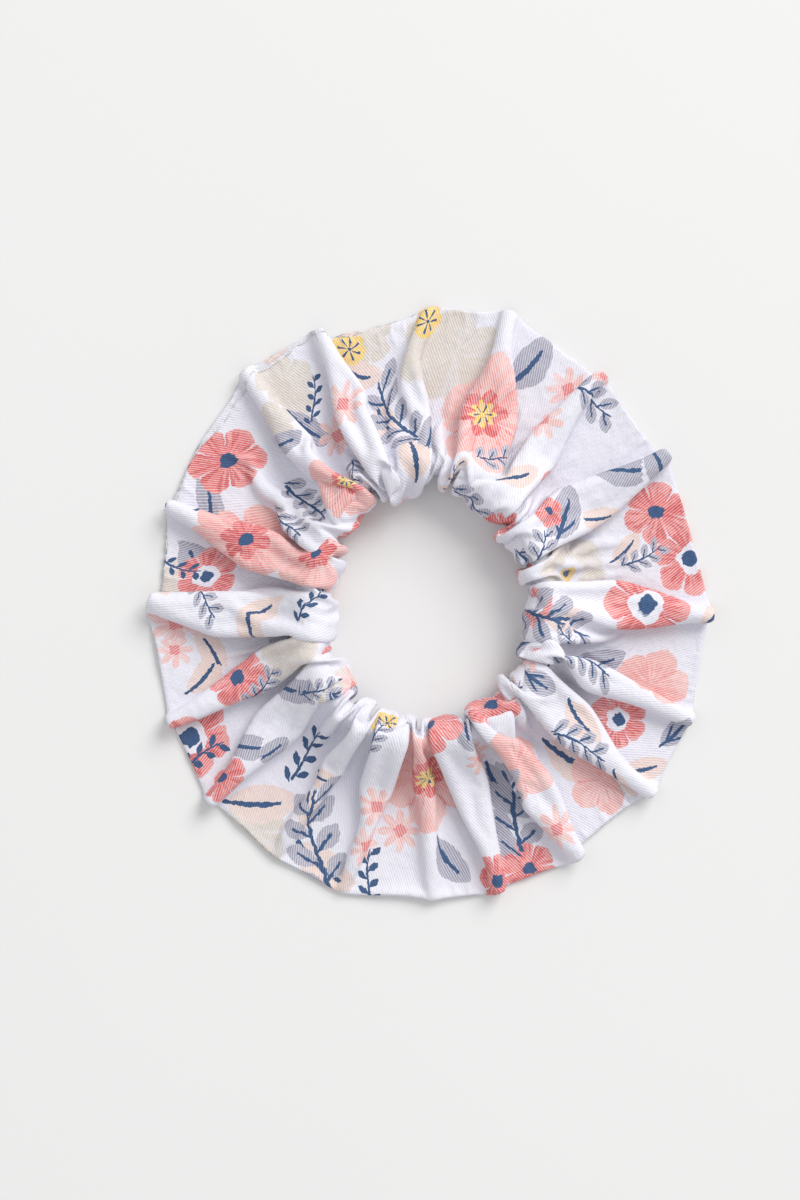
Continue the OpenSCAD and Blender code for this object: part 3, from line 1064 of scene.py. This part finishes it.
def stretch_with_ring(piece, *nodes):
    """Bakes the piece's placing into its mesh, and hides the nodes that the piece stands for."""
    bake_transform(piece)
    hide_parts(*nodes)


def set_corners(piece, name, values):
    """Stores a vector for each face corner."""
    attribute = piece.data.attributes.new(name, "FLOAT_VECTOR", "CORNER")
    attribute.data.foreach_set("vector", np.ascontiguousarray(values, np.float32).ravel())


def skin(rings, sides):
    """Faces of a tube of rings that have the same number of points, closed at both ends."""
    faces = []
    for ring in range(rings - 1):
        here, there = ring * sides, (ring + 1) * sides
        for a in range(sides):
            b = (a + 1) % sides
            faces.append((here + a, here + b, there + b, there + a))
    return faces + [tuple(range(sides))[::-1], tuple((rings - 1) * sides + a for a in range(sides))]


def tube(path, radius, sides=8):
    """Points, faces and lengthwise coordinates of a round thread along a path, narrowed at both ends."""
    path = np.asarray(path, float)
    along = np.gradient(path, axis=0)
    along /= np.linalg.norm(along, axis=1, keepdims=True)
    side = np.cross(along, (0.31, 0.22, 0.92))
    side /= np.linalg.norm(side, axis=1, keepdims=True)
    other = np.cross(along, side)
    turn = np.arange(sides) / sides * math.tau
    thick = np.full(len(path), radius)
    thick[0] = thick[-1] = radius * 0.45
    ring = side[:, None] * np.cos(turn)[None, :, None] + other[:, None] * np.sin(turn)[None, :, None]
    points = (path[:, None] + ring * thick[:, None, None]).reshape(-1, 3)
    run = np.concatenate([[0], np.cumsum(np.linalg.norm(np.diff(path, axis=0), axis=1))])
    place = [np.repeat(run, sides), np.tile(turn * radius, len(path)), np.zeros(len(path) * sides)]
    return points, skin(len(path), sides), np.stack(place, -1)


def thread_piece(name, paths, material, *nodes):
    """Every stitch of one seam, joined in one piece."""
    points, faces, places, count = [], [], [], 0
    for path in paths:
        p, f, place = tube(path, THREAD_R)
        faces += [tuple(count + corner for corner in face) for face in f]
        points.append(p)
        places.append(place)
        count += len(p)
    piece = new_piece(name, np.concatenate(points), faces, material)
    places = np.concatenate(places)
    set_corners(piece, "along", places[[corner for face in faces for corner in face]])
    stretch_with_ring(piece, *nodes)


def gather_nodes(first, last):
    """The gathers whose middle lies between two shares of the strip, counted from the cross seam."""
    names = []
    for number in range(GATHERS):
        share = (number / GATHERS - CROSS_SEAM_AT) % 1
        if first <= share < last:
            names.append(f"gather_{number + 1:02d}")
    return names


class SCRUNCHIE_OT_sleeve(bpy.types.Operator):
    """Make the gathered cotton sleeve with its floral print"""

    bl_idname = "scrunchie.sleeve"
    bl_label = "Cotton sleeve"
    bl_options = {"REGISTER", "UNDO"}

    def execute(self, context):
        settings = context.scene.scrunchie_cloth
        sleeve = made["sleeve"] = Sleeve(settings)
        material = floral_cotton(context.scene.scrunchie_inks, made["yarn"])
        points, u, v = sleeve.strip()
        normals = surface_normals(points)
        edge = sleeve.flaps[0].shape[1]
        outward = -np.concatenate([sleeve.inward, sleeve.inward[:1]])
        outward = unit(normals[:, edge + 1] + normals[:, -edge - 2] + 0.5 * outward)[:, None]
        normals[:, edge - 1:edge + 1] = normals[:, -edge - 1:-edge + 1] = outward
        normals[0] = normals[-1] = unit(normals[0] + normals[-1])
        layout = lay_out(sleeve)
        rows, columns = points.shape[0] - 1, points.shape[1]
        for number in range(SLEEVE_LENGTHS):
            low, high = (round(rows * k / SLEEVE_LENGTHS) for k in (number, number + 1))
            part = slice(low, high + 1)
            faces = grid_faces(high + 1 - low, columns)
            name = f"sleeve_{number + 1}"
            piece = new_piece(name, points[part].reshape(-1, 3), faces, material)
            row, column = np.divmod(faces, columns)
            corner_u, corner_v = u[low + row], v[column]
            set_corners(piece, "cloth", np.stack([corner_u, corner_v, np.zeros_like(corner_u)], -1))
            for layer, motifs in layout.items():
                set_corners(piece, layer, motif_coordinates(corner_u, corner_v, motifs))
            piece.data.normals_split_custom_set_from_vertices(normals[part].reshape(-1, 3).tolist())
            stretch_with_ring(piece, *gather_nodes(low / rows, high / rows))
            cut = (v[-1] - v[0]) * MM, (high - low) * sleeve.step_u * MM
        return {"FINISHED"}


class SCRUNCHIE_OT_elastic(bpy.types.Operator):
    """Make the loop of braided elastic and the zigzag that holds its overlapped ends"""

    bl_idname = "scrunchie.elastic"
    bl_label = "Elastic"
    bl_options = {"REGISTER", "UNDO"}

    def execute(self, context):
        settings = context.scene.scrunchie_cloth
        material = elastic_material(made["yarn"])
        angle = np.linspace(LAP_AT, LAP_AT + math.tau, 361)
        from_lap = np.minimum(angle - LAP_AT, LAP_AT + math.tau - angle) / LAP
        inset = ELASTIC_THICK / 2 * np.exp(-from_lap ** 4)
        loop = elastic_strip(settings, angle, -inset)
        angle = np.linspace(LAP_AT - LAP / 2, LAP_AT + LAP / 2, 31)
        over = elastic_strip(settings, angle, np.full(31, ELASTIC_THICK * 0.52))
        count = len(loop[0])
        points, places = (np.concatenate([loop[k], over[k]]) for k in (0, 2))
        faces = loop[1] + [tuple(corner + count for corner in face) for face in over[1]]
        piece = new_piece("elastic_loop", points, faces, material)
        set_corners(piece, "along", places[[corner for face in faces for corner in face]])
        stretch_with_ring(piece, "elastic_band")
        angle = np.linspace(LAP_AT - LAP * 0.4, LAP_AT + LAP * 0.4, ZIGZAG)
        r = elastic_radius(settings.oval, angle, settings.elastic_r) + ELASTIC_THICK + THREAD_R
        z = ELASTIC_Z + ELASTIC_W * 0.36 * np.where(np.arange(ZIGZAG) % 2, 1, -1)
        zigzag = np.stack([r * np.cos(angle), r * np.sin(angle), z], -1)
        paths = [np.linspace(a, b, 5) for a, b in zip(zigzag[:-1], zigzag[1:])]
        thread_piece("elastic_lap_thread", paths, made["thread"], "elastic_lap_stitches")
        return {"FINISHED"}


def elastic_strip(settings, angle, out):
    """Points, faces and lengthwise coordinates of a ribbed strip of elastic that stands on its edge."""
    sides = 40
    turn = np.arange(sides) / sides * math.tau
    up = np.sign(np.sin(turn)) * np.abs(np.sin(turn)) ** 0.5
    thick = np.sign(np.cos(turn)) * np.abs(np.cos(turn)) ** 0.35
    rib = 0.86 + 0.14 * np.abs(np.sin(up * RIBS * math.pi / 2))
    cord = 1 + 0.05 * np.sin(angle[:, None] * 90 + np.sign(thick) * 1.5 + up * 9)
    middle = elastic_radius(settings.oval, angle, settings.elastic_r)
    r = (middle + out)[:, None] + thick * rib * cord * ELASTIC_THICK / 2
    z = np.broadcast_to(ELASTIC_Z + up * ELASTIC_W / 2, r.shape)
    points = np.stack([r * np.cos(angle)[:, None], r * np.sin(angle)[:, None], z], -1)
    faces = [(face[0], *face[:0:-1]) for face in skin(len(angle), sides)]
    along = np.broadcast_to((angle * settings.elastic_r)[:, None], r.shape)
    place = np.stack([along, z, np.broadcast_to(thick, r.shape)], -1)
    return points.reshape(-1, 3), faces, place.reshape(-1, 3)


class SCRUNCHIE_OT_seams(bpy.types.Operator):
    """Make the stitches of the long seam, the cross seam and the hand-closed gap"""

    bl_idname = "scrunchie.seams"
    bl_label = "Seam stitches"
    bl_options = {"REGISTER", "UNDO"}

    def execute(self, context):
        sleeve = made["sleeve"]
        raised = sleeve.seam - sleeve.inward * THREAD_R * 1.4
        paths = stitched_line(raised, sleeve.inward, sleeve.step_u, STITCH)
        thread_piece("long_seam_thread", paths, made["thread"], "long_seam_stitches")
        ring = sleeve.points[0, :-1]
        toward = -surface_normals(sleeve.points[:3])[0, :-1]
        paths = stitched_line(ring - toward * THREAD_R, toward, sleeve.step_v, CROSS_STITCH)
        thread_piece("cross_seam_thread", paths, made["thread"], "cross_seam_stitches")
        thread_piece("closing_thread", closing_stitches(sleeve), made["thread"], "closing_stitches")
        return {"FINISHED"}


def stitched_line(line, inward, step, stitch):
    """Paths of running stitches along a line of points step apart in the cloth. Their ends dive into it."""
    paths = []
    for start in np.arange(0, len(line) * step - STITCH_PITCH, STITCH_PITCH):
        place = np.linspace(start, start + stitch, 7) / step
        low = np.floor(place).astype(int) % len(line)
        part = (place - np.floor(place))[:, None]
        path = line[low] * (1 - part) + line[(low + 1) % len(line)] * part
        dive = np.array([1.6, 0.3, 0, 0, 0, 0.3, 1.6])[:, None] * THREAD_R
        paths.append(path + inward[low] * dive)
    return paths


def closing_stitches(sleeve):
    """Paths of small hand stitches over the long seam, where the sleeve was turned right side out."""
    angle = np.degrees(np.arctan2(sleeve.seam[:, 1], sleeve.seam[:, 0]))
    start = int(np.abs(angle - CLOSING_AT).argmin())
    paths = []
    for k in range(CLOSING_COUNT):
        row = start + round(k * CLOSING_PITCH / sleeve.step_u)
        near, far = sleeve.points[row, -3], sleeve.points[row + 1, 2]
        top = sleeve.seam[row] - sleeve.inward[row] * (SEAM_DEPTH + THREAD_R)
        t = np.linspace(0, 1, 9)[:, None]
        path = near * (1 - t) ** 2 + 2 * top * t * (1 - t) + far * t ** 2
        paths.append(path - sleeve.inward[row] * THREAD_R * 0.6)
    return paths


class SCRUNCHIE_OT_stage(bpy.types.Operator):
    """Make the table, the lights and the camera"""

    bl_idname = "scrunchie.stage"
    bl_label = "Table, light and camera"
    bl_options = {"REGISTER", "UNDO"}

    def execute(self, context):
        scene, settings = context.scene, context.scene.scrunchie_stage
        mesh = bpy.data.meshes.new("table")
        corners = [(x * TABLE_HALF, y * TABLE_HALF, 0) for x, y in ((-1, -1), (1, -1), (1, 1), (-1, 1))]
        mesh.from_pydata(corners, [], [(0, 1, 2, 3)])
        table = bpy.data.objects.new("table", mesh)
        scene.collection.objects.link(table)
        material, tree, shader = new_material("White table", 0.55)
        cloudy = noise(tree, Wire(tree, tree.nodes.new("ShaderNodeTexCoord").outputs["Object"]), 6.0, 3.0)
        plug(tree, blend_colour(tree, cloudy, (0.80, 0.795, 0.785, 1), (0.83, 0.825, 0.82, 1)),
             shader.inputs["Base Color"])
        mesh.materials.append(material)

        world = scene.world = bpy.data.worlds.new("Room")
        world.use_nodes = True
        background = world.node_tree.nodes["Background"]
        background.inputs["Color"].default_value = (0.97, 0.98, 1.0, 1)
        background.inputs["Strength"].default_value = settings.room
        area_light("Window", WINDOW_AT, WINDOW_SIZE, settings.window, (1.0, 0.99, 0.97))

        camera = bpy.data.objects.new("Camera", bpy.data.cameras.new("Camera"))
        camera.data.lens = settings.lens
        rise = settings.view_high * settings.lens / camera.data.sensor_width
        camera.location = (*settings.aim, rise + CAD_BOX[1].z / 2)
        scene.collection.objects.link(camera)
        scene.camera = camera
        scene.view_settings.view_transform = "Standard"
        return {"FINISHED"}


def area_light(name, place, size, power, colour):
    """A square soft light that faces the ring."""
    data = bpy.data.lights.new(name, "AREA")
    data.size, data.energy, data.color = size, power, colour
    light = bpy.data.objects.new(name, data)
    light.location = place
    light.rotation_euler = Vector(place).to_track_quat("Z", "Y").to_euler()
    bpy.context.scene.collection.objects.link(light)


class SCRUNCHIE_PT_panel(bpy.types.Panel):
    """Sidebar panel that lists the scrunchie's pieces and settings"""

    bl_idname = "SCRUNCHIE_PT_panel"
    bl_label = "Scrunchie"
    bl_space_type = "VIEW_3D"
    bl_region_type = "UI"
    bl_category = "Scrunchie"

    def draw(self, context):
        for operator in OPERATORS:
            self.layout.operator(operator.bl_idname)
        for group, kind in GROUPS.items():
            box = self.layout.box()
            for name in kind.__annotations__:
                box.prop(getattr(context.scene, group), name)


OPERATORS = (SCRUNCHIE_OT_sleeve, SCRUNCHIE_OT_elastic, SCRUNCHIE_OT_seams, SCRUNCHIE_OT_stage)
GROUPS = {
    "scrunchie_cloth": ScrunchieCloth, "scrunchie_inks": ScrunchieInks, "scrunchie_stage": ScrunchieStage,
}


def register():
    for group in (*GROUPS.values(), *OPERATORS, SCRUNCHIE_PT_panel):
        bpy.utils.register_class(group)
    for name, group in GROUPS.items():
        setattr(bpy.types.Scene, name, bpy.props.PointerProperty(type=group))


def unregister():
    for name in GROUPS:
        delattr(bpy.types.Scene, name)
    for group in (SCRUNCHIE_PT_panel, *reversed(OPERATORS), *reversed(GROUPS.values())):
        bpy.utils.unregister_class(group)


def main():
    """Makes every piece and the stage."""
    register()
    made["yarn"] = yarn_group()
    made["thread"] = thread_material(made["yarn"])
    bpy.ops.scrunchie.sleeve()
    bpy.ops.scrunchie.elastic()
    bpy.ops.scrunchie.seams()
    bpy.ops.scrunchie.stage()


if __name__ == "__main__":
    main()
